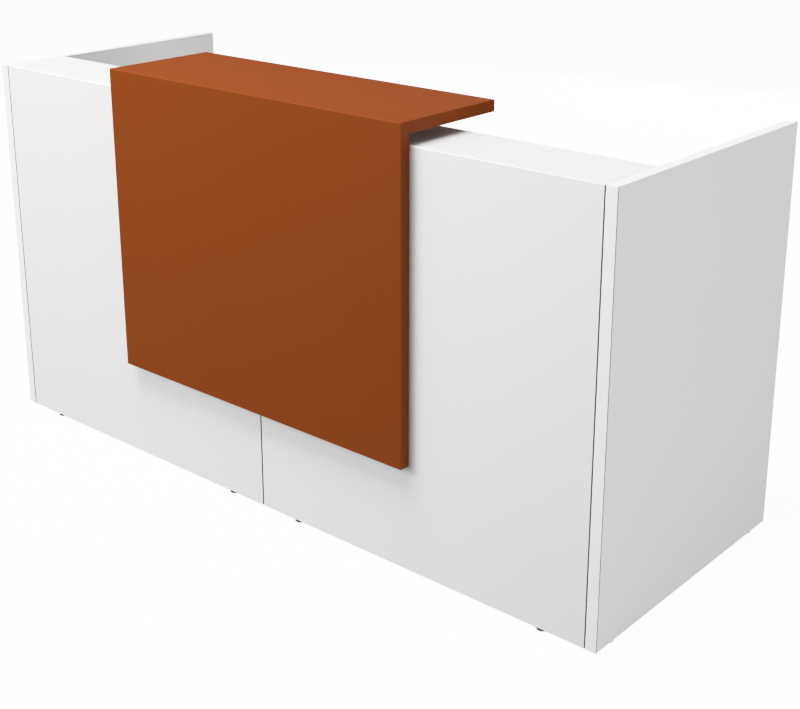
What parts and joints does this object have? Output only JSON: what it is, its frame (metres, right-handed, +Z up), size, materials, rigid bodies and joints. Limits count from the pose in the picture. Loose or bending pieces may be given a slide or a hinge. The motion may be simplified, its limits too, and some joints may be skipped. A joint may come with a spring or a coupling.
{
  "type": "reception desk",
  "caption": "White panelled reception desk with staff worktops behind, and an orange accent panel that folds over into a raised visitor counter; it stands on levelling feet.",
  "frame": {"origin": "on the floor, in the middle of the desk's footprint", "axes": "+X along the desk to the visitor's right, +Y from the visitor's side to the staff side, +Z up"},
  "size_m": [2.0566, 0.8052, 1.102],
  "materials": {
    "white_board": "white melamine-faced chipboard, satin, edge-banded",
    "accent_board": "burnt orange melamine-faced chipboard, satin, edge-banded",
    "spacer_aluminium": "turned and satin anodised",
    "bracket_steel": "pressed steel, light grey powder coat",
    "insert_steel": "zinc-plated bush",
    "foot_plastic": "black moulded plastic",
    "grommet_plastic": "grey moulded plastic"
  },
  "bodies": {
    "desk": {"front_panel_left": "white_board", "front_panel_right": "white_board", "ledge_left": "white_board", "ledge_right": "white_board", "end_panel_left": "white_board", "end_panel_right": "white_board", "worktop_left": "white_board", "worktop_right": "white_board", "centre_leg": "white_board", "centre_fin": "white_board", "accent_panel": "accent_board", "counter": "accent_board", "counter_spacer_left_inner": "spacer_aluminium", "counter_spacer_left_outer": "spacer_aluminium", "counter_spacer_right_inner": "spacer_aluminium", "counter_spacer_right_outer": "spacer_aluminium", "worktop_angle_left_end_front": "bracket_steel", "worktop_angle_left_end_rear": "bracket_steel", "worktop_angle_left_leg_front": "bracket_steel", "worktop_angle_left_leg_rear": "bracket_steel", "worktop_angle_left_panel": "bracket_steel", "worktop_angle_right_end_front": "bracket_steel", "worktop_angle_right_end_rear": "bracket_steel", "worktop_angle_right_leg_front": "bracket_steel", "worktop_angle_right_leg_rear": "bracket_steel", "worktop_angle_right_panel": "bracket_steel", "ledge_angle_left_panel": "bracket_steel", "ledge_angle_left_end": "bracket_steel", "ledge_angle_right_panel": "bracket_steel", "ledge_angle_right_end": "bracket_steel", "corner_angle_left_end": "bracket_steel", "corner_angle_left_leg": "bracket_steel", "corner_angle_right_end": "bracket_steel", "corner_angle_right_leg": "bracket_steel", "grommet_sleeve_left": "grommet_plastic", "grommet_sleeve_right": "grommet_plastic", "foot_insert_left_panel_outer": "insert_steel", "foot_insert_left_panel_inner": "insert_steel", "foot_insert_right_panel_inner": "insert_steel", "foot_insert_right_panel_outer": "insert_steel", "foot_insert_left_end_front": "insert_steel", "foot_insert_left_end_rear": "insert_steel", "foot_insert_right_end_front": "insert_steel", "foot_insert_right_end_rear": "insert_steel", "foot_insert_leg_front": "insert_steel", "foot_insert_leg_rear": "insert_steel"},
    "foot_left_panel_outer": {"foot_left_panel_outer": "foot_plastic"},
    "foot_left_panel_inner": {"foot_left_panel_inner": "foot_plastic"},
    "foot_right_panel_inner": {"foot_right_panel_inner": "foot_plastic"},
    "foot_right_panel_outer": {"foot_right_panel_outer": "foot_plastic"},
    "foot_left_end_front": {"foot_left_end_front": "foot_plastic"},
    "foot_left_end_rear": {"foot_left_end_rear": "foot_plastic"},
    "foot_right_end_front": {"foot_right_end_front": "foot_plastic"},
    "foot_right_end_rear": {"foot_right_end_rear": "foot_plastic"},
    "foot_leg_front": {"foot_leg_front": "foot_plastic"},
    "foot_leg_rear": {"foot_leg_rear": "foot_plastic"},
    "grommet_cap_left": {"grommet_cap_left": "grommet_plastic"},
    "grommet_cap_right": {"grommet_cap_right": "grommet_plastic"}
  },
  "joints": [
    {"name": "level_left_panel_outer", "type": "slide", "parent": "desk", "child": "foot_left_panel_outer", "axis": [0, 0, -1], "range_m": [0, 0.015]},
    {"name": "level_left_panel_inner", "type": "slide", "parent": "desk", "child": "foot_left_panel_inner", "axis": [0, 0, -1], "range_m": [0, 0.015]},
    {"name": "level_right_panel_inner", "type": "slide", "parent": "desk", "child": "foot_right_panel_inner", "axis": [0, 0, -1], "range_m": [0, 0.015]},
    {"name": "level_right_panel_outer", "type": "slide", "parent": "desk", "child": "foot_right_panel_outer", "axis": [0, 0, -1], "range_m": [0, 0.015]},
    {"name": "level_left_end_front", "type": "slide", "parent": "desk", "child": "foot_left_end_front", "axis": [0, 0, -1], "range_m": [0, 0.015]},
    {"name": "level_left_end_rear", "type": "slide", "parent": "desk", "child": "foot_left_end_rear", "axis": [0, 0, -1], "range_m": [0, 0.015]},
    {"name": "level_right_end_front", "type": "slide", "parent": "desk", "child": "foot_right_end_front", "axis": [0, 0, -1], "range_m": [0, 0.015]},
    {"name": "level_right_end_rear", "type": "slide", "parent": "desk", "child": "foot_right_end_rear", "axis": [0, 0, -1], "range_m": [0, 0.015]},
    {"name": "level_leg_front", "type": "slide", "parent": "desk", "child": "foot_leg_front", "axis": [0, 0, -1], "range_m": [0, 0.015]},
    {"name": "level_leg_rear", "type": "slide", "parent": "desk", "child": "foot_leg_rear", "axis": [0, 0, -1], "range_m": [0, 0.015]},
    {"name": "cap_turn_left", "type": "hinge", "parent": "desk", "child": "grommet_cap_left", "pos_m": [-0.8503, -0.13635, 0.74], "axis": [0, 0, 1], "continuous": true},
    {"name": "cap_turn_right", "type": "hinge", "parent": "desk", "child": "grommet_cap_right", "pos_m": [0.8503, -0.13635, 0.74], "axis": [0, 0, 1], "continuous": true}
  ]
}
